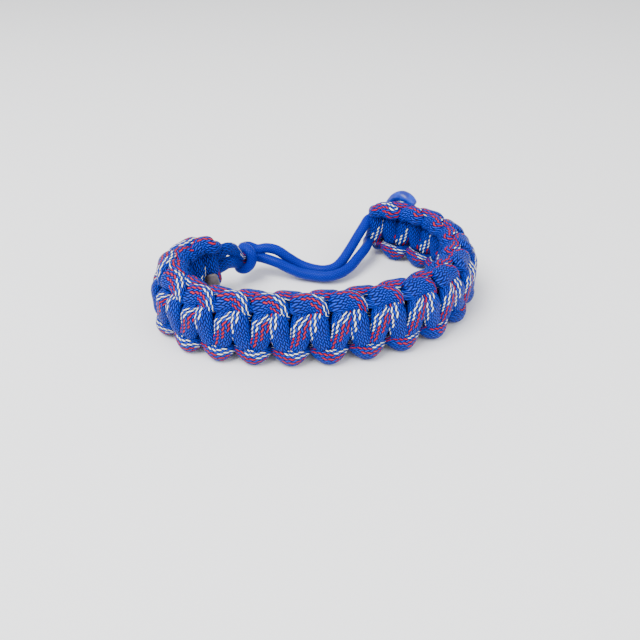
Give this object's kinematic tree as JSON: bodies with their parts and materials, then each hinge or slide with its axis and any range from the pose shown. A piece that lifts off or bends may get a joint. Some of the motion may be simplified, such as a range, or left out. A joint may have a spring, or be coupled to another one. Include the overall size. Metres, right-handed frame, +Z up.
{
  "type": "paracord bracelet",
  "caption": "Knotted cord bracelet: a flat woven band of patterned cord over a straight core, closed at the back by a plain cord loop hitched through the core's bight.",
  "frame": {"origin": "bottom centre of the box round the bracelet without its two loose loop legs, on the surface it stands on", "axes": "+X to the wearer's right along the longest side of the ring, +Y to the back where the closing loop lies, +Z up across the band's width"},
  "size_m": [0.0892, 0.0674, 0.0203],
  "materials": {
    "patterned_cord": "satin braided nylon, blue with white and orange tracer yarns",
    "plain_cord": "satin braided nylon, plain blue",
    "melted_cord": "smooth melted nylon, blue",
    "scorched_cord": "smooth melted nylon, scorched grey"
  },
  "bodies": {
    "root": {"knot_cord_a": "patterned_cord", "knot_cord_b": "patterned_cord", "core_cord": "patterned_cord", "loop_hitch": "plain_cord", "loop_leg_far": "plain_cord", "loop_leg_near": "plain_cord", "loop_tail": "melted_cord", "scorched_end": "scorched_cord"}
  },
  "joints": []
}
